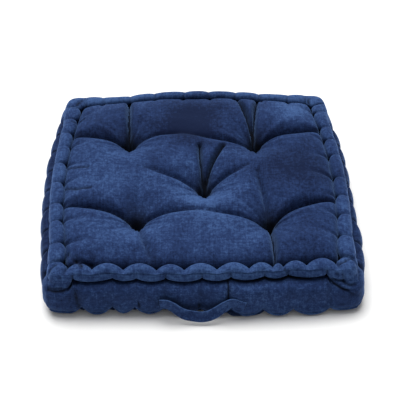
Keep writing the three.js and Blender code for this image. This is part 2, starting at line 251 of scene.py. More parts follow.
# Creases pressed into the finished cover, mostly where the corners are gathered: depth, width and
# the points they run through
creases = (
    (5, 2.6, (231, -272, 70), (244, -282, 73), (264, -282, 69)),
    (5, 2.8, (234, -279, 71), (247, -289, 67), (261, -294, 59), (273, -295, 55)),
    (3.5, 2.8, (263, -284, 68), (275, -289, 63), (286, -286, 63)),
    (3, 3.0, (272, -296, 54), (287, -296, 43)),
    (5, 2.4, (257, -262, 92), (256, -271, 87), (250, -281, 85)),
    (4, 2.6, (258, -262, 94), (270, -254, 95), (284, -246, 91)),
    (3, 2.6, (258, -272, 87), (262, -282, 83), (265, -282, 69)),
    (3, 3.0, (284, -252, 93), (291, -261, 84), (297, -260, 69), (295, -275, 66)),
    (2, 2.4, (230, -276, 71), (223, -293, 69)),
    (2, 2.4, (232, -279, 71), (232, -293, 69)),
    (5, 2.8, (-233, -276, 72), (-245, -281, 67), (-258, -292, 63), (-274, -291, 60), (-288, -285, 60)),
    (3.5, 2.6, (-287, -282, 63), (-276, -288, 64), (-260, -289, 67)),
    (5, 2.6, (-254, -243, 80), (-256, -265, 90), (-262, -280, 85)),
    (3, 3.0, (-272, -254, 95), (-283, -266, 90), (-287, -269, 72)),
    (3, 2.8, (-233, -279, 71), (-236, -294, 65)),
    (3, 2.8, (-238, -282, 73), (-250, -290, 63)),
    (6, 4.0, (-251, -223, 91), (-237, -240, 91), (-224, -264, 100)),
    (4, 4.0, (-235, -234, 95), (-220, -245, 89), (-205, -249, 84)),
    (5, 3.0, (-273, 196, 101), (-264, 195, 95), (-254, 204, 98)),
    (5, 3.0, (-264, 195, 95), (-248, 204, 101)),
    (4, 3.4, (-274, 37, 92), (-253, 28, 103), (-228, 26, 108)),
    (4, 3.4, (-273, -29, 92), (-248, -44, 105), (-219, -45, 110)),
    (5, 3.0, (149, -270, 96), (155, -280, 92), (163, -280, 78)),
    (4.5, 3.0, (-257, 280, 97), (-268, 265, 96), (-255, 265, 82)),
    (4, 3.0, (-286, 258, 92), (-269, 248, 97)),
    (4.5, 3.0, (253, 253, 89), (255, 279, 94)),
    (4.5, 3.0, (253, 253, 89), (269, 253, 96), (286, 263, 90)),
)
# The dark of a pressed crease is painted shade
pressedDark = 5.0  # depth at which such a crease is quite dark

# Puckers that run in from the stitches of the roll on each side: depth, least and greatest length,
# width at the groove and its gain for each millimetre inwards
pucker = {
    "depth": (3.6, 6.8, 5.8, 6.8),
    "length": ((40, 72), (60, 115), (50, 90), (60, 115)),
    "width": ((6.0, 0.14), (3.5, 0.15), (3.5, 0.15), (3.5, 0.15)),
    # dark: the painted shade in a pucker
    "uneven": (0.5, 1.1), "slant": 0.4, "dark": 0.5, "seed": 40,
}
# Wrinkles round a tuft: how many to a turn, how far they twist, and where they start and fade
wrinkle = {"size": 1.0, "waves": (7, 9, 12, 15, 19, 24), "twist": (60, 160), "clear": 16.0, "reach": 74.0,
           "softness": 0.7, "seed": 60}

# Patches where the tone is lighter or darker: X, Y, reach, and by how much. Most are the pile's own uneven
# tone, some are painted shade on slopes. Slopes that face the front get painted shade, those that face the
# back a little painted light
toneAndShadeSpots = (
    (-190, 20, 75, 0.12), (0, -70, 60, 0.3), (-40, 60, 60, 0.1), (215, 20, 80, -0.54), (190, -170, 60, -0.28),
    (0, 205, 95, -0.44), (-30, 166, 50, -0.46), (-190, 205, 60, -0.12), (210, 215, 40, 0.36),
    (0, 120, 45, -0.2), (120, -20, 40, -0.1), (30, -190, 70, 0.06),
)
paintedSlopeShade = {"dark": 0.25, "range": (-0.4, 1.0)}  # slopes past this range make no more difference
# Painted light on the roll and painted shade on the wall, on each side
paintedRollLight = (0.16, 0.1, 0.36, 0.08)  # on each side
paintedWallShade = (-0.05, -0.28, 0.0, -0.38)
paintedLightBlend = 25.0  # how far from a corner the tones of its two sides blend
# Painted highlight along the top of the hem
paintedHemHighlight = {"light": 0.25, "rows": 4}  # along the top of the hem


# From a to b by the share t: a plus their difference times t
def mix(a, b, t):
    return a + (b - a) * t


# A share held between 0 and 1
def held(share):
    return np.clip(share, 0, 1)


# How far a value has come from the first of two ends to the second, as a held share
def between(value, ends):
    return held((value - ends[0]) / (ends[1] - ends[0]))


# Smoothstep: three times the square of a share less twice its cube
def eased(share):
    return share * share * (3 - 2 * share)


# Bell curve: e to the power of less the square of the distance in widths
def bell(distance, width):
    return np.exp(-(distance / width) ** 2)


# Smooth random hills: random heights on a square lattice, joined by smoothstep weights, between
# -1 and 1
def hills(x, y, cell, seed):
    size = 64  # points of the lattice each way, after which it repeats
    lattice = np.random.default_rng(seed).uniform(-1, 1, (size, size))
    u, v = x / cell + 1000, y / cell + 1000
    column, row = np.floor(u).astype(int), np.floor(v).astype(int)
    fu, fv = eased(u - column), eased(v - row)
    corners = [[lattice[(row + j) % size, (column + i) % size] for i in (0, 1)] for j in (0, 1)]
    return mix(mix(*corners[0], fu), mix(*corners[1], fu), fv)


# Depth of a dip across its half width: 1 in the middle and 0 at the half width, by
# 1 - (1 - nearness squared) to the power of the fullness
def flank(distance, halfWidth):
    nearness = held(1 - np.abs(distance) / halfWidth)
    return 1 - (1 - nearness ** 2) ** pillow["fullness"]


# Chord of a side between its two groove corners: its start, unit direction and length
def chord(side):
    start = np.array(pillow["corners"][side], float)
    run = np.array(pillow["corners"][(side + 1) % 4], float) - start
    length = np.hypot(run[0], run[1])
    return start, run / length, length


# Distances along a side's chord of its stitches, from their X or Y
def stitchPlaces(side, row):
    start, run, length = chord(side)
    axis = sides[side]["axis"]
    return (np.array(sides[side].get(row, sides[side]["lower"]), float) - start[axis]) * run[axis]


# Extra height near the back edge: square of the share of the way back, times a parabola across
def liftAt(x, y):
    half = pillow["corners"][2][1]
    return pillow["backLift"] * np.clip(y / half, 0, None) ** 2 * np.clip(1 - (x / half) ** 2, 0, None)


# Distance inwards from one bowed side of the groove, and distance along it
def inside(side, x, y):
    start, run, length = chord(side)
    along = (x - start[0]) * run[0] + (y - start[1]) * run[1]
    out = (x - start[0]) * run[1] - (y - start[1]) * run[0]
    return sides[side]["bow"] * 4 * along / length * (1 - along / length) - out, along


# Nearest point of a quadratic Bezier curve, taken on its chords: its distance, the way to it in X
# and Y, and the share of the curve where it lies
def nearestOnCurve(x, y, start, via, end):
    t = np.linspace(0, 1, foldSteps + 1)[:, None]
    curve = mix(mix(np.array(start), np.array(via), t), mix(np.array(via), np.array(end), t), t)
    best = np.full((4, *x.shape), np.inf)
    for step in range(foldSteps):
        before, run = curve[step], curve[step + 1] - curve[step]
        share = held(((x - before[0]) * run[0] + (y - before[1]) * run[1]) / (run @ run))
        toX, toY = before[0] + run[0] * share - x, before[1] + run[1] * share - y
        here = np.array([np.hypot(toX, toY), toX, toY, (step + share) / foldSteps])
        best = np.where(here[0] < best[0], here, best)
    return best


# Small creases that run out from a tuft: a sum of cosines round it, fading with the distance
def tuftWrinkles(x, y, at, seed):
    random = np.random.default_rng(seed)
    away = np.hypot(x - at[0], y - at[1])
    angle = np.arctan2(y - at[1], x - at[0])
    total = np.zeros(x.shape)
    for waves in wrinkle["waves"]:
        turn = random.uniform(0, 6.28) + away / random.uniform(*wrinkle["twist"])
        total += random.uniform(0.5, 1) * np.cos(waves * angle + turn)
    fade = held(away / wrinkle["clear"]) ** 2 * bell(away, wrinkle["reach"])
    return wrinkle["size"] * np.abs(total) ** wrinkle["softness"] * np.sign(total) * fade


# Puckers where the stitches of the roll pull at the panel: valleys that run straight in from the groove,
# shallower and wider as they go. Also the painted shade in them
def puckerDepth(x, y):
    total, dark = np.zeros(x.shape), np.zeros(x.shape)
    for side in range(4):
        random = np.random.default_rng(pucker["seed"] + side)
        depth, along = inside(side, x, y)
        depth = np.clip(depth, 0, None)
        narrow, gain = pucker["width"][side]
        for place in stitchPlaces(side, "upper"):
            reach = random.uniform(*pucker["length"][side])
            slant = random.uniform(-pucker["slant"], pucker["slant"])
            fade = held(1 - depth / reach) ** 2
            valley = bell(along - place - slant * depth, narrow + gain * depth)
            total += pucker["depth"][side] * random.uniform(*pucker["uneven"]) * fade * valley
            dark = np.maximum(dark, fade ** 2 * valley ** 3)
    return total, pucker["dark"] * dark


# Height of the top panel: the crown, less the shoulders, tufts and folds joined by a power sum, less creases,
# pits, puckers and small lumps. Also how much painted shade each place has, 0 to 1: in creases, pits and
# puckers, along the groove and behind each tuft
def topHeight(x, y):
    drop = pillow["crownHeight"] - pillow["grooveHeight"]
    shoulder = pillow["shoulder"]
    power = pillow["blend"]
    total, crease, pit, small, shade = (np.zeros(x.shape) for part in range(5))
    for side in range(4):
        distance = np.clip(inside(side, x, y)[0], 0, None)
        steep = np.exp(-distance / shoulder["narrow"])
        soft = held(1 - distance / shoulder["wide"]) ** 2
        total += (drop * mix(soft, steep, shoulder["steep"])) ** power
    for number, tuft in enumerate(tufts.values()):
        toX, toY = x - tuft["at"][0], y - tuft["at"][1]
        away = np.hypot(toX, toY)
        total += (tuft["bowl"] * held(1 - away / tuft["reach"]) ** bowlPower) ** power
        pit += tuft["pit"] * bell(away, pitWidth)
        shade += tuftShade["dark"] * bell(np.hypot(toX, toY - tuftShade["behind"]), tuftShade["reach"])
        small += tuftWrinkles(x, y, tuft["at"], wrinkle["seed"] + number)
    for name, via, end, depth, width, sharp in folds:
        gap, toX, toY, place = nearestOnCurve(x, y, tufts[name]["at"], via, end)
        across = np.hypot(gap, foldFloor) - foldFloor
        total += (mix(*depth, place) * flank(across, mix(*width, place))) ** power
        crease = np.maximum(crease, sharp * np.exp(-across / creaseWidth))
    for size, cell, seed in pillow["lumps"]:
        small += size * hills(x, y, cell, seed)
    puckers, puckerDark = puckerDepth(x, y)
    height = pillow["crownHeight"] + liftAt(x, y) - total ** (1 / power) - crease - pit - puckers - small
    return height, held(crease / darkDepth["crease"] + pit / darkDepth["pit"] + puckerDark + shade)


# Grid points near a fold drawn on to its line, so that its floor is an unbroken row of edges: a
# distance d within the width w becomes d squared over w
def gatherToFolds(x, y):
    best = np.full((4, *x.shape), np.inf)
    for name, via, end, depth, width, sharp in folds:
        here = nearestOnCurve(x, y, tufts[name]["at"], via, end)
        best = np.where(here[0] < best[0], here, best)
    part = held(1 - best[0] / gatherWidth)
    return x + best[1] * part, y + best[2] * part


# The groove round the pillow, corner to corner in bowed chords, its corners rounded by a running
# mean, and the direction straight out from it
def groovePath():
    steps = pillow["pathSteps"]
    t = np.arange(steps) / steps
    points = []
    for side in range(4):
        start, run, length = chord(side)
        out = sides[side]["bow"] * 4 * t * (1 - t)
        points.append(start + run * (t * length)[:, None] + np.array([run[1], -run[0]]) * out[:, None])
    path = np.vstack(points)
    reach = 4 * int(pillow["cornerRound"] * steps / chord(0)[2])
    weights = np.exp(-0.5 * (np.arange(-reach, reach + 1) / (reach / 4)) ** 2)
    weights /= weights.sum()
    wrapped = np.vstack([path[-reach:], path, path[:reach]])
    smooth = np.column_stack([np.convolve(wrapped[:, axis], weights, "valid") for axis in (0, 1)])
    ahead = np.roll(smooth, -1, 0) - np.roll(smooth, 1, 0)
    ahead /= np.hypot(ahead[:, 0], ahead[:, 1])[:, None]
    return smooth, np.column_stack([ahead[:, 1], -ahead[:, 0]])


# Shares of the way along a side at which the columns stand: closer together near the corners and
# the stitches
def columnShares(side):
    length = chord(side)[2]
    along = np.linspace(0, length, 4001)
    corners = bell(along, columns["cornerWidth"]) + bell(length - along, columns["cornerWidth"])
    density = 1 + columns["corner"] * corners
    for place in np.concatenate([stitchPlaces(side, "upper"), stitchPlaces(side, "lower")]):
        density += columns["stitch"] * bell(along - place, columns["stitchWidth"])
    total = np.concatenate([[0], np.cumsum((density[1:] + density[:-1]) / 2)])
    return np.interp(np.arange(pillow["steps"]) / pillow["steps"], total / total[-1], along / length)


# How full a row of lobes stands at each place along a side: 1 less the distance from the lobe's
# middle to a power, times how hard the nearer stitch pulls. Short lobes are lower
def fullness(along, knots, pulls, sharpness):
    count = len(knots) - 1
    place = np.clip(np.interp(along, knots, np.arange(count + 1)), 0, count - 1e-9)
    lobe = place.astype(int)
    across = 2 * (place - lobe) - 1
    pull = np.where(across < 0, pulls[lobe], pulls[lobe + 1])
    least, most = edge["lobe"]["least"], edge["lobe"]["most"]
    size = np.clip(mix(least, 1, np.diff(knots) / edge["lobe"]["width"]), least, most)
    return 1 - (1 - size[lobe]) * (1 - across ** 2) - pull * np.abs(across) ** sharpness


# Narrow creases at the stitches of a row, 0 to their strength
def nicks(along, places, strengths):
    return (np.array(strengths) * bell(along[..., None] - places, edge["nick"]["width"])).max(-1)


# Upper row at rows v from the groove, 0, to the seam, 1: its stitches lean sideways as they go. At
# each corner a low piece fans out between two creases
def upperRow(side, along, v):
    length = chord(side)[2]
    places = stitchPlaces(side, "upper")
    fanStart, fanEnd = edge["fanStart"][side], edge["fanEnd"][side]
    pullStart, pullEnd = edge["pullStart"][side], edge["pullEnd"][side]
    lean = np.interp(along, [0, *places, length], [0, *sides[side]["lean"], 0])
    shifted = along + lean * (v - edge["leanFrom"])
    pulls = np.concatenate([[pullStart], np.zeros(len(places)) + sides[side]["pull"], [pullEnd]])
    full = fullness(shifted, np.array([fanStart, *places, length - fanEnd]), pulls, sides[side]["sharpness"])
    full = mix(full, 1, (1 - sides[side]["crestPull"]) * eased(held(v / edge["crestBy"])))
    nick = nicks(shifted, places, sides[side].get("upperNick", 1.0))
    ends = (side, shifted, fanStart, pullStart), (side + 1, length - shifted, fanEnd, pullEnd)
    for corner, gap, fan, pull in ends:
        piece = mix(edge["piece"][corner % 4], 1 - pull, held(gap / fan) ** 3)
        full = np.where(gap < fan, piece, full)
        nick += pull * bell(gap - fan, edge["fanCrease"])
    return full, nick


# Lower row or hem: one lobe goes right round each corner. Also how far each place belongs to it
def lowerRow(side, along, row):
    length = chord(side)[2]
    places = stitchPlaces(side, row)
    knots = np.array([-places[0], *places, 2 * length - places[-1]])
    pulls = np.full(len(knots), float(sides[side]["lowerPull"]))
    if row == "hem":
        pulls[1:-1] *= sides[side].get("hemPull", 1.0)
    full = fullness(along, knots, pulls, sides[side]["sharpness"])
    corner = (along < places[0]) | (along > places[-1])
    full = np.where(corner, np.minimum(full, 1), full)
    return full, nicks(along, places, sides[side].get("lowerNick", 1.0)), full * corner


# Extra reach round the ring: a closed row of values joined by smoothstep weights
def reachAt(values, place):
    knot = np.floor(place * reachSteps).astype(int)
    table = np.array(values, float)
    return mix(table[knot % len(table)], table[(knot + 1) % len(table)], eased(place * reachSteps - knot))


# One value for each side, drifting at a corner to the mean of the two sides that meet there
def blendSides(values, side, share, cornerGap):
    other = np.where(share < 0.5, values[side - 1], values[(side + 1) % 4])
    return mix(values[side], (values[side] + other) / 2, bell(cornerGap, paintedLightBlend))


# All columns round the pillow, as arrays: where each stands, which way is out, and what its side or
# corner asks of the section
def makeRing():
    path, outward = groovePath()
    closed = np.arange(4 * pillow["pathSteps"] + 1)
    lines = {"x": path[:, 0], "y": path[:, 1], "dirX": outward[:, 0], "dirY": outward[:, 1]}
    rings = []
    for side in range(4):
        share = columnShares(side)
        start, run, length = chord(side)
        axis = sides[side]["axis"]
        ring = {"share": share, "side": np.full(share.shape, side), "along": share * length}
        ring["cornerGap"] = np.minimum(ring["along"], length - ring["along"])
        ring["place"] = start[axis] + run[axis] * ring["along"]
        for key, values in lines.items():
            ring[key] = np.interp((side + share) * pillow["pathSteps"], closed, np.append(values, values[0]))
        for key, values in reaches.items():
            ring[key] = reachAt(values, side + share)
        for key, values in (("rollPaintedLight", paintedRollLight), ("wallPaintedShade", paintedWallShade)):
            ring[key] = blendSides(values, side, share, ring["cornerGap"])
        for key, piece in (("draw", boxing), ("gather", boxing), ("grooveShift", edge), ("groovePush", edge)):
            ring[key] = np.full(share.shape, piece[key][side])
        ring["sag"] = np.where(share > 0.5, float(edge["sag"][(side + 1) % 4]), edge["sag"][side])
        rings.append(ring)
    ring = {key: np.concatenate([part[key] for part in rings]) for key in rings[0]}
    ring["groovePush"] *= between(ring["cornerGap"], edge["pushClear"])
    size = np.hypot(ring["dirX"], ring["dirY"])
    ring["dirX"] /= size
    ring["dirY"] /= size
    power = pillow["squareness"]
    ring["stretch"] = (np.abs(ring["dirX"]) ** power + np.abs(ring["dirY"]) ** power) ** (-1 / power)
    return ring


# Values for each row and column from a function of the side, the distance along it and one more
def perSide(ring, rows, function, extra):
    along = np.broadcast_to(ring["along"].reshape(4, 1, -1), (4, rows, pillow["steps"]))
    results = [function(side, along[side], extra) for side in range(4)]
    return [np.concatenate(parts, 1) for parts in zip(*results)]


# Points on an elliptical arc whose centre and size go from drawn to full: rows by columns
def lobeArc(lobe, full, scale):
    angle = np.radians(np.linspace(*lobe["arc"], lobe["rows"]))[:, None]
    wide = mix(lobe["drawnSize"][0], lobe["fullSize"][0], full) * scale
    tall = mix(lobe["drawnSize"][1], lobe["fullSize"][1], full) * scale
    out = mix(lobe["drawn"][0], lobe["full"][0], full) + wide * np.cos(angle)
    height = mix(lobe["drawn"][1], lobe["full"][1], full) + tall * np.sin(angle)
    return out, height


# The wall between its top and its foot: an arc of a squared ellipse, taller below when full
def wallArc(full, draw):
    angle = np.radians(np.linspace(*boxing["arc"], boxing["rows"]))[:, None]
    wide, slack = boxing["full"], boxing["drawn"]
    rays = np.cos(angle), np.sin(angle)
    level, upright = (np.sign(ray) * np.abs(ray) ** boxing["squareness"] for ray in rays)
    drawn = (1 - full) * mix((1 - upright) / 2, boxing["drawEven"], draw)
    reach = mix(slack["reach"][0], wide["reach"][0], 1 - drawn)
    above = mix(slack["reach"][1], wide["reach"][1], full)
    below = mix(slack["reach"][2], wide["reach"][2], full)
    out = mix(slack["centre"][0], wide["centre"][0], full) + reach * level
    height = mix(slack["centre"][1], wide["centre"][1], full) + np.where(upright > 0, above, below) * upright
    return out, height


# Rolled edge at every column, from the groove down: rows of distance out, of height and of painted shade.
# Each row of lobes is an arc, drawn to the seam at its end, and the lobe round a corner hangs lower
def rollRows(ring, v, up, upNick, low, lowNick, corner):
    w = np.linspace(0, 1, edge["lower"]["rows"])[:, None]
    nick, step = edge["nick"], edge["seamStep"]
    upCut, lowCut = nick["cut"]
    upOut, upHeight = lobeArc(edge["upper"], up, 1 - upCut * upNick * between(v, nick["cutFade"]))
    lowOut, lowHeight = lobeArc(edge["lower"], low, 1 - lowCut * lowNick)
    upOut = upOut - ring["groovePush"] * up * (1 - v) ** edge["pushPower"]
    seamOut = edge["seam"][0] - edge["seamDraw"][0] * (1 - low[0])
    seamHeight = edge["seam"][1] - edge["seamDraw"][1] * (1 - up[-1])
    near = between(v, edge["upperToSeam"]) ** edge["seamPower"]
    upOut, upHeight = mix(upOut, seamOut - step[0], near), mix(upHeight, seamHeight + step[1], near)
    near = between(w, edge["lowerToSeam"])
    lowOut, lowHeight = mix(lowOut, seamOut, near), mix(lowHeight, seamHeight - step[1], near)
    hang = w ** edge["sagPower"]
    lowHeight = lowHeight - corner * ring["sag"] * hang
    lowOut = lowOut + edge["sagOut"] * corner * ring["sag"] * np.sin(hang * math.pi)
    clear = between(ring["cornerGap"], edge["seamClear"])
    t, proud, shade = np.array(edge["seamRows"]).T[..., None]
    out = np.vstack([upOut, mix(upOut[-1], lowOut[0], t) + proud * clear, lowOut])
    height = np.vstack([upHeight, mix(upHeight[-1], lowHeight[0], t), lowHeight])
    upDark = between(v, edge["grooveDark"]) + nick["dark"] * upNick * between(v, nick["darkFade"])
    lowDark = between(w, edge["lowerDark"]) + nick["dark"] * lowNick
    out += ring["rollReach"] * between(out, fades["rollReach"])
    height += ring["rollRise"] * between(height, fades["rollRise"])
    return out, height, np.vstack([upDark, shade * clear, lowDark])


# The same rows down the wall, with its creases cut in, and over the hem's bead and foot to the floor
def wallRows(ring, low, lowNick, hem, hemNick, corner):
    w = np.linspace(0, 1, boxing["rows"])[:, None]
    nick = mix(lowNick, hemNick, w) ** boxing["gatherPower"]
    out, height = wallArc(mix(low, hem, w), ring["draw"])
    height = height - boxing["sagShare"] * ring["sag"] * corner * between(height, fades["sag"])
    out = out - ring["gather"] * nick * between(height, fades["gather"])
    dark = boxing["gatherDark"] * ring["gather"] * nick
    fade = boxing["creaseFade"]
    for side, at, lowEnd, highEnd, depth, width, slant in wallCreases:
        window = held((height - lowEnd) / fade + 0.5) * held((highEnd - height) / fade + 0.5)
        line = bell(ring["place"] - at - slant * (height - lowEnd), width) * window * (ring["side"] == side)
        out = out - depth * line
        dark = np.maximum(dark, boxing["creaseDark"] * depth * line)
    dark = dark + between(w, boxing["topDark"])
    beadOut, beadHeight = lobeArc(boxing["bead"], hem, 1)
    footOut, footHeight = lobeArc(boxing["foot"], 1 - hem, 1)
    away = (ring["place"] - footReach["at"]) / footReach["width"]
    footOut = footOut + footReach["reach"] * np.exp(-away ** 4) * (ring["side"] == footReach["side"])
    floor = np.array(boxing["floor"])[..., None] + 0 * ring["along"]
    out = np.vstack([out, beadOut, footOut, floor[:, 0]])
    height = np.vstack([height, beadHeight, footHeight, floor[:, 1]])
    reach = ring["wallReach"] + ring["hemReach"] * between(height, fades["hemReach"])
    out = out + reach * between(out, fades["wallReach"])
    footDark = boxing["footDark"] + 0 * np.vstack([footOut, floor[:, 0]])
    return out, height, np.vstack([dark, 0 * beadOut, footDark])


# Section of the edge at every column: the roll and the wall, which run smoothly into each other at
# a corner, with the foot drawn in. Also how far each place belongs to the roll
def edgeSection(ring):
    v = np.linspace(0, 1, edge["upper"]["rows"])[:, None]
    up, upNick = perSide(ring, len(v), upperRow, v)
    low, lowNick, corner = perSide(ring, edge["lower"]["rows"], lowerRow, "lower")
    hem, hemNick, hemCorner = perSide(ring, 1, lowerRow, "hem")
    roll = rollRows(ring, v, up, upNick, low, lowNick, corner)
    wall = wallRows(ring, low[:1], lowNick[:1], hem, hemNick, corner[:1])
    out, height, dark = (np.vstack(pair) for pair in zip(roll, wall))
    rollShare = np.vstack([np.ones(roll[0].shape), np.zeros(wall[0].shape)])
    first, last = firstLower + boxing["cornerRows"][0], firstWall + boxing["cornerRows"][1]
    t = np.linspace(0, 1, last - first + 1)[:, None]
    smoothOut = mix(out[first], out[last], np.sin(t * math.pi / 2))
    smoothHeight = mix(height[first], height[last], t)
    part = eased(held(boxing["cornerSmooth"] * corner[:1]))
    for rows, smooth in ((out, smoothOut), (height, smoothHeight), (dark, 0), (rollShare, 1 - t)):
        rows[first:last + 1] = mix(rows[first:last + 1], smooth, part)
    lift = between(height, fades["cornerLift"]) ** boxing["liftPower"]
    out -= boxing["cornerLift"] * hemCorner * lift * (out > boxing["liftFrom"])
    return out, np.clip(height, 0, None), held(dark), rollShare


# Plan of the top panel: a patch stretched between the four sides of the groove, each point the sum
# of its places between opposite sides less its place between the corners
def panelPlan(ring):
    n = pillow["steps"]
    border = np.column_stack([ring["x"], ring["y"]])
    front, right = border[:n + 1], border[n:2 * n + 1]
    back, left = border[2 * n:3 * n + 1][::-1], np.vstack([border[3 * n:], border[:1]])[::-1]
    share = np.append(ring["share"], 0)
    across = (share[:n + 1] + 1 - share[2 * n:3 * n + 1][::-1]) / 2
    across[0], across[-1] = 0, 1
    upward = (share[n:2 * n + 1] + 1 - share[3 * n:][::-1]) / 2
    upward[0], upward[-1] = 0, 1
    u, v = across[None, :, None], upward[:, None, None]
    both = mix(front[None], back[None], v) + mix(left[:, None], right[:, None], u)
    return both - mix(mix(front[0], front[-1], u), mix(back[0], back[-1], u), v)


# Four points to a face from a grid of their numbers
def gridFaces(index):
    return np.stack([index[:-1, :-1], index[:-1, 1:], index[1:, 1:], index[1:, :-1]], -1).reshape(-1, 4)


# The same for rings of points, one below the other, closed on themselves
def ringFaces(rings):
    return gridFaces(np.column_stack([rings, rings[:, :1]]).T)


# Rows and columns of the points round a grid of n steps, from the front left
def borderOf(n):
    s = np.arange(n)
    return np.concatenate([0 * s, s, n + 0 * s, n - s]), np.concatenate([s, n + 0 * s, n - s, 0 * s])


# The whole cover: the panel, then the section of the edge carried round it, then a coarser grid
# for the underside, joined by fans
def makePillow():
    n = pillow["steps"]
    ring = makeRing()
    border = borderOf(n)
    full, nick = perSide(ring, 1, upperRow, 0)
    shift = ring["grooveShift"] * (1 - full[0]) - ring["groovePush"] * full[0]
    pulled = np.clip(shift, 0, None)
    edgeX, edgeY = ring["x"] + ring["dirX"] * shift, ring["y"] + ring["dirY"] * shift

    plan = panelPlan(ring)
    x, y = gatherToFolds(plan[..., 0], plan[..., 1])
    x[border], y[border] = edgeX, edgeY
    z, panelDark = topHeight(x, y)
    sunk = edge["grooveSink"][0] * pulled + edge["grooveSink"][1] * nick[0]
    z[border] = pillow["grooveHeight"] + liftAt(edgeX, edgeY) - sunk
    nearest = np.min([inside(side, x, y)[0] for side in range(4)], 0)
    panelDark = np.maximum(panelDark, np.exp(-np.clip(nearest, 0, None) / grooveShade))
    panelDark[border] = 1
    # Painted shade on slopes that face the front, a little painted light on those that face the back
    slope = np.gradient(z, axis=0) / np.gradient(y, axis=0)
    panelLight = -paintedSlopeShade["dark"] * np.clip(slope, *paintedSlopeShade["range"])
    panelIndex = np.arange(z.size).reshape(z.shape)

    out, height, edgeDark, rollShare = edgeSection(ring)
    reach = (out - pulled) * ring["stretch"] + pulled
    height = height + liftAt(edgeX, edgeY) * height / pillow["crownHeight"]
    strip = np.stack([ring["x"] + ring["dirX"] * reach, ring["y"] + ring["dirY"] * reach, height], -1)
    rings = np.vstack([panelIndex[border], z.size + np.arange(reach.size).reshape(reach.shape)])
    # Painted light on the roll and painted shade on the wall
    edgeLight = mix(ring["wallPaintedShade"], ring["rollPaintedLight"], rollShare)
    # Painted highlight along the top of the hem's bead
    edgeLight[firstBead:firstBead + paintedHemHighlight["rows"]] += paintedHemHighlight["light"]

    under = plan[::pillow["underStep"], ::pillow["underStep"]]
    under = mix(under.mean((0, 1)), under, pillow["underShare"])
    under = np.dstack([under, np.zeros(under.shape[:2])])
    underIndex = z.size + reach.size + np.arange(under[..., 0].size).reshape(under.shape[:2])
    inner = underIndex[borderOf(len(under) - 1)]
    rim = rings[-1].reshape(-1, pillow["underStep"])
    fan = np.column_stack([np.roll(rim[:, 0], -1), rim[:, ::-1], inner, np.roll(inner, -1)])

    points = np.vstack([part.reshape(-1, 3) for part in (np.dstack([x, y, z]), strip, under)])
    groups = gridFaces(panelIndex), ringFaces(rings), gridFaces(underIndex.T), fan
    faces = [face for group in groups for face in group.tolist()]
    flat = np.zeros(underIndex.size)
    dark = np.concatenate([panelDark.ravel(), edgeDark.ravel(), flat])
    light = np.concatenate([panelLight.ravel(), edgeLight.ravel(), flat])
    # Patches of the pile's tone, some of them painted shade on slopes
    for spotX, spotY, size, toneAndLight in toneAndShadeSpots:
        light += toneAndLight * bell(np.hypot(points[:, 0] - spotX, points[:, 1] - spotY), size)
    return addPiece("velvet_pillow", points * mm, faces, dark, light), ring, strip


# A smooth-shaded mesh in metres, with painted shade in creases, pits, grooves and recesses as the attribute
# "fold", and the pile's tone with painted light and shade as a second attribute
def addPiece(name, points, faces, dark, light):
    mesh = bpy.data.meshes.new(name)
    mesh.from_pydata(points.tolist(), [], faces)
    mesh.polygons.foreach_set("use_smooth", np.ones(len(mesh.polygons), bool))
    for key, values in (("fold", dark), ("napAndPaintedLight", light)):
        mesh.attributes.new(key, "FLOAT", "POINT").data.foreach_set("value", values.astype(np.float32))
    mesh.update()
    piece = bpy.data.objects.new(name, mesh)
    bpy.context.scene.collection.objects.link(piece)
    return piece


# Presses the creases into a finished piece: every point moves against the crease's mean normal by the depth
# times a bell curve of its distance to the crease, and gets painted shade there
def pressCreases(piece):
    mesh = piece.data
    count = len(mesh.vertices)
    points, normals, dark = np.zeros((count, 3)), np.zeros((count, 3)), np.zeros(count)
    mesh.vertices.foreach_get("co", points.reshape(-1))
    mesh.vertex_normals.foreach_get("vector", normals.reshape(-1))
    mesh.attributes["fold"].data.foreach_get("value", dark)
    pressed = np.zeros((count, 3))
    for depth, width, *path in creases:
        path = np.array(path) * mm
        gap = np.full(count, np.inf)
        for start, end in zip(path[:-1], path[1:]):
            run = end - start
            share = held((points - start) @ run / (run @ run))[:, None]
            gap = np.minimum(gap, np.linalg.norm(points - start - run * share, axis=1))
        press = bell(gap, width * mm)
        inward = (normals * press[:, None]).sum(0)
        pressed += depth * mm * press[:, None] * inward / np.linalg.norm(inward)
        dark = np.maximum(dark, min(depth / pressedDark, 1) * press)
    mesh.vertices.foreach_set("co", (points - pressed).reshape(-1))
    mesh.attributes["fold"].data.foreach_set("value", dark)
    mesh.update()


pillowPiece, ring, strip = makePillow()
pressCreases(pillowPiece)
print("pillow made:", len(pillowPiece.data.polygons), "faces")


# The carry strap, in millimetres: a folded band that hangs in a bow from the front wall, its ends
# sewn flat to it. Stations of its middle line: X, Y and height
strap = {
    "stations": ((-81, -308, 41), (-66, -309, 41), (-55, -312, 37), (-45, -315, 29), (-32, -318, 22.5),
                 (-15, -320, 19.5), (0, -321, 18.5), (14, -320, 21), (28, -317, 28), (42, -313, 37.5),
                 (54, -310, 42), (66, -309, 38), (81, -308, 34)),
    "width": 22.0,
    "thickness": 2.4,
    "clear": 0.4,  # least gap to the wall
    "lean": 0.35,  # how far the lower edge swings out in the middle, radians
    "middle": -2.0, "upright": (20, 60),  # the lean is full this near its middle, none this far away
    "stitchInset": 3.6, "stitchDepth": 0.9, "stitchWidth": 1.0,
    "bars": (2.6, 23.0),  # distances from each end of the rows of stitches across it
    # Painted shade in the sunk stitches and on the cut ends, and a painted highlight along both rims
    "stitchDark": 0.85, "endDark": 0.9,
    "rimLight": 0.35,
    "steps": 260, "faceSteps": 41, "rimSteps": 5,  # along it, across it and round each rim
    "wallWidth": 120,  # the wall is read this far to either side of the middle
}


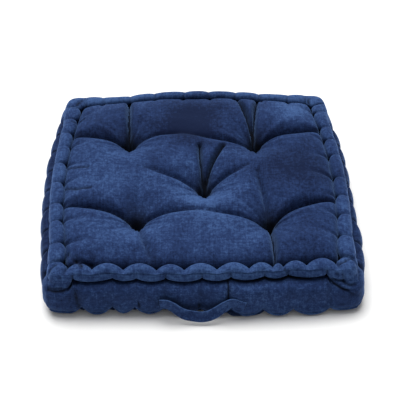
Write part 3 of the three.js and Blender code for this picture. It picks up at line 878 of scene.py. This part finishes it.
# Front of the wall at some X and height, read off the pillow's own section there
def wallFace(x, height):
    near = (ring["side"] == 0) & (np.abs(ring["place"]) < strap["wallWidth"])
    wall = strip[firstWall:firstBead + boxing["bead"]["rows"] - boxing["bead"]["under"], near]
    nearest = np.abs(wall[boxing["bulgeRow"], :, 0] - x[:, None]).argmin(1)
    return np.array([np.interp(z, wall[::-1, k, 2], wall[::-1, k, 1]) for z, k in zip(height, nearest)])


# Middle line by a smooth curve through the stations: cubic pieces whose slopes are those between
# the neighbouring stations. Nowhere does it come nearer to the wall than half the thickness and the gap
def strapLine():
    stations = np.array(strap["stations"])
    padded = np.vstack([2 * stations[0] - stations[1], stations, 2 * stations[-1] - stations[-2]])
    at = np.linspace(0, len(stations) - 1, strap["steps"])
    k = np.minimum(at.astype(int), len(stations) - 2)
    t = (at - k)[:, None]
    a, b, c, d = padded[k], padded[k + 1], padded[k + 2], padded[k + 3]
    line = (2 * b + (c - a) * t + (2 * a - 5 * b + 4 * c - d) * t ** 2 + (3 * b - 3 * c + d - a) * t ** 3) / 2
    front = wallFace(line[:, 0], line[:, 2]) - strap["thickness"] / 2 - strap["clear"]
    line[:, 1] = np.minimum(line[:, 1], front)
    return line


# The band swept along its line: its width runs up, leaning out where the bow hangs free, and its thickness
# through. The outer face carries two sunk rows of stitches and bars across the ends, with painted shade in
# them; the cut ends get painted shade and the rims a painted highlight
def makeStrap():
    line = strapLine()
    fromMiddle = np.abs(line[:, 0] - strap["middle"])
    lean = strap["lean"] * (1 - eased(between(fromMiddle, strap["upright"])))
    ahead = np.gradient(line, axis=0)
    ahead /= np.linalg.norm(ahead, axis=1)[:, None]
    up = np.column_stack([0 * lean, np.sin(lean), np.cos(lean)])
    up -= ahead * (up * ahead).sum(1)[:, None]
    up /= np.linalg.norm(up, axis=1)[:, None]
    through = np.cross(up, ahead)
    half, across = strap["thickness"] / 2, (strap["width"] - strap["thickness"]) / 2
    face = np.linspace(-across, across, strap["faceSteps"])
    angle = np.radians(np.linspace(-90, 90, strap["rimSteps"] + 2)[1:-1])
    rim = np.column_stack([across + half * np.cos(angle), -half * np.sin(angle)])
    outer, inner = np.column_stack([face, half + 0 * face]), np.column_stack([face[::-1], -half + 0 * face])
    section = np.vstack([outer, rim, inner, -rim])
    walked = np.concatenate([[0], np.cumsum(np.linalg.norm(np.diff(line, axis=0), axis=1))])
    toEnd = np.minimum(walked, walked[-1] - walked)
    rows = bell(np.abs(face) - strap["width"] / 2 + strap["stitchInset"], strap["stitchWidth"])
    bars = sum(bell(toEnd - bar, strap["stitchWidth"]) for bar in strap["bars"])
    sunk = np.maximum(rows, bars[:, None])
    points = line[:, None] + up[:, None] * section[None, :, :1] + through[:, None] * section[None, :, 1:]
    points[:, :len(face)] -= strap["stitchDepth"] * sunk[..., None] * through[:, None]
    index = np.arange(len(line) * len(section)).reshape(len(line), len(section))
    faces = ringFaces(index).tolist() + [index[0].tolist(), index[-1, ::-1].tolist()]
    dark, light = np.zeros(index.shape), np.zeros(index.shape)
    dark[:, :len(face)] = strap["stitchDark"] * sunk
    dark[toEnd < 1] = strap["endDark"]
    light[:, len(face):len(face) + len(rim)] = light[:, -len(rim):] = strap["rimLight"]
    piece = addPiece("velvet_strap", points.reshape(-1, 3) * mm, faces, dark.ravel(), light.ravel())
    return piece, walked[-1] * mm


strapPiece, strapLength = makeStrap()
print("strap made:", round(strapLength, 4), "m long")


# Colours: sRGB hex to linear light
def linear(hexColour):
    values = [int(hexColour[i:i + 2], 16) / 255 for i in (1, 3, 5)]
    return [v / 12.92 if v <= 0.04045 else ((v + 0.055) / 1.055) ** 2.4 for v in values] + [1.0]


# A node with its settings, and its inputs set to values or linked from other nodes' outputs
def addNode(tree, kind, settings={}, inputs={}):
    node = tree.nodes.new("ShaderNode" + kind)
    for name, value in settings.items():
        setattr(node, name, value)
    for name, value in inputs.items():
        if isinstance(value, bpy.types.NodeSocket):
            tree.links.new(value, node.inputs[name])
        else:
            node.inputs[name].default_value = value
    return node


# Cotton velvet: woven with a short cut pile and dyed navy. That gives a matt, deep colour, lighter
# or darker as the pile lies, no gloss, and a blue sheen where the cloth turns away from the eye
velvet = {
    "dark": "#091634", "middle": "#1e3159", "light": "#3a5583", "sheenTint": "#7397d4",
    "surface": {"Roughness": 0.85, "Specular IOR Level": 0.1, "Sheen Weight": 0.5, "Sheen Roughness": 0.4},
    # Patterns: size in millimetres and weight
    "cloud": (111.0, 0.7),  # a hand's stroke over the pile
    "mottle": (23.8, 0.4),  # crush marks of packing
    "blotch": (7.14, 1.3),  # a fingertip's dent
    "pepper": (2.63, 0.9),  # tufts of the pile, 0.4 mm in the cloth, drawn as coarse as shows
    "slub": (29.4, 2.17, 0.45),  # thick threads: length, width (really 0.5 mm, drawn coarser), weight
    "contrast": 0.95,
    "creaseShade": 0.94,  # how much of its light a full crease loses
    # Bumps: size and height in millimetres
    "ripple": (14.3, 1.2),  # slack between the cloth and its filling
    "pile": (1.11, 0.3),  # the tufts again, drawn as coarse as shows
}


# The velvet's node tree: noise patterns about their middle are summed to a tone between the three colours,
# the pile's tone with painted light and shade from the second attribute is added to it, and the painted shade
# of the creases takes light off it
def makeVelvet(name):
    material = bpy.data.materials.new(name)
    material.use_nodes = True
    tree = material.node_tree
    shader = tree.nodes["Principled BSDF"]
    place = addNode(tree, "TexCoord").outputs["Object"]
    scaled = {"operation": "MULTIPLY_ADD"}
    patterns = []
    for key in ("cloud", "mottle", "blotch", "pepper"):
        size, weight = velvet[key]
        cells = {"Vector": place, "Scale": 1 / (size * mm), "Detail": 4.0, "Roughness": 0.65}
        patterns.append((addNode(tree, "TexNoise", {}, cells).outputs["Fac"], weight))
    length, width, weight = velvet["slub"]
    for cell in ((length, width, width), (width, length, length)):
        stretch = {"Vector": place, "Scale": [1 / (size * mm) for size in cell]}
        stretched = addNode(tree, "Mapping", {}, stretch).outputs[0]
        cells = {"Vector": stretched, "Scale": 1.0, "Detail": 2.0}
        patterns.append((addNode(tree, "TexNoise", {}, cells).outputs["Fac"], weight))
    total = -sum(weight for noise, weight in patterns) / 2
    for noise, weight in patterns:
        total = addNode(tree, "Math", scaled, {0: noise, 1: weight, 2: total}).outputs[0]
    clamped = {"use_clamp": True}
    tone = addNode(tree, "Math", scaled | clamped, {0: total, 1: velvet["contrast"], 2: 0.5}).outputs[0]
    napAndPaintedLight = addNode(tree, "Attribute", {"attribute_name": "napAndPaintedLight"}).outputs["Fac"]
    toneAndLight = addNode(tree, "Math", clamped, {0: tone, 1: napAndPaintedLight}).outputs[0]
    ramp = addNode(tree, "ValToRGB", {}, {"Fac": toneAndLight})
    ramp.color_ramp.elements[0].color = linear(velvet["dark"])
    ramp.color_ramp.elements[1].color = linear(velvet["light"])
    ramp.color_ramp.elements.new(0.5).color = linear(velvet["middle"])
    fold = addNode(tree, "Attribute", {"attribute_name": "fold"}).outputs["Fac"]
    shade = addNode(tree, "Math", scaled, {0: fold, 1: -velvet["creaseShade"], 2: 1.0}).outputs[0]
    lit = {0: ramp.outputs["Color"], "Scale": shade}
    colour = addNode(tree, "VectorMath", {"operation": "SCALE"}, lit).outputs[0]
    tree.links.new(colour, shader.inputs["Base Color"])
    shader.inputs["Sheen Tint"].default_value = linear(velvet["sheenTint"])
    for socket, value in velvet["surface"].items():
        shader.inputs[socket].default_value = value
    bump = {}
    for key in ("ripple", "pile"):
        size, height = velvet[key]
        cells = {"Vector": place, "Scale": 1 / (size * mm), "Detail": 3.0}
        noise = addNode(tree, "TexNoise", {}, cells)
        bump |= {"Height": noise.outputs["Fac"], "Distance": height * mm, "Strength": 1.0}
        bump["Normal"] = addNode(tree, "Bump", {}, bump).outputs["Normal"]
    tree.links.new(bump["Normal"], shader.inputs["Normal"])
    return material


pillowPiece.data.materials.append(makeVelvet("cotton velvet"))
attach(pillowPiece, "root")
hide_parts("pillow")
strapPiece.data.materials.append(makeVelvet("strap velvet"))
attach(strapPiece, "root")
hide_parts("carry_strap")
print("velvet on both pieces")

# Matt white paper under one broad sun and a white sky: dull and even, so that it takes a soft grey
# shadow and no reflection
studio = {
    "floorColour": "#f4f4f3",
    "floorRoughness": 0.9,
    "floorSize": 14,
    "skyColour": "#ffffff",
    "skyStrength": 0.32,
    "sun": {"strength": 3.9, "spread": 52, "tilt": (-22, -8)},  # degrees: disc, lean to the back and side
}


# The floor, the sun turned to its tilt, and the sky
def makeStudio():
    bpy.ops.mesh.primitive_plane_add(size=studio["floorSize"])
    floor = bpy.context.object
    floor.name = "studio_floor"
    paper = bpy.data.materials.new("matt white paper")
    paper.use_nodes = True
    shader = paper.node_tree.nodes["Principled BSDF"]
    shader.inputs["Base Color"].default_value = linear(studio["floorColour"])
    shader.inputs["Roughness"].default_value = studio["floorRoughness"]
    floor.data.materials.append(paper)
    sun = bpy.data.lights.new("key", "SUN")
    sun.angle = math.radians(studio["sun"]["spread"])
    sun.energy = studio["sun"]["strength"]
    lamp = bpy.data.objects.new("key", sun)
    lamp.rotation_euler = (*np.radians(studio["sun"]["tilt"]), 0)
    bpy.context.scene.collection.objects.link(lamp)
    world = bpy.data.worlds.new("studio")
    world.use_nodes = True
    sky = world.node_tree.nodes["Background"]
    sky.inputs["Color"].default_value = linear(studio["skyColour"])
    sky.inputs["Strength"].default_value = studio["skyStrength"]
    bpy.context.scene.world = world
    bpy.context.scene.view_settings.view_transform = "Standard"


makeStudio()
print("studio set")
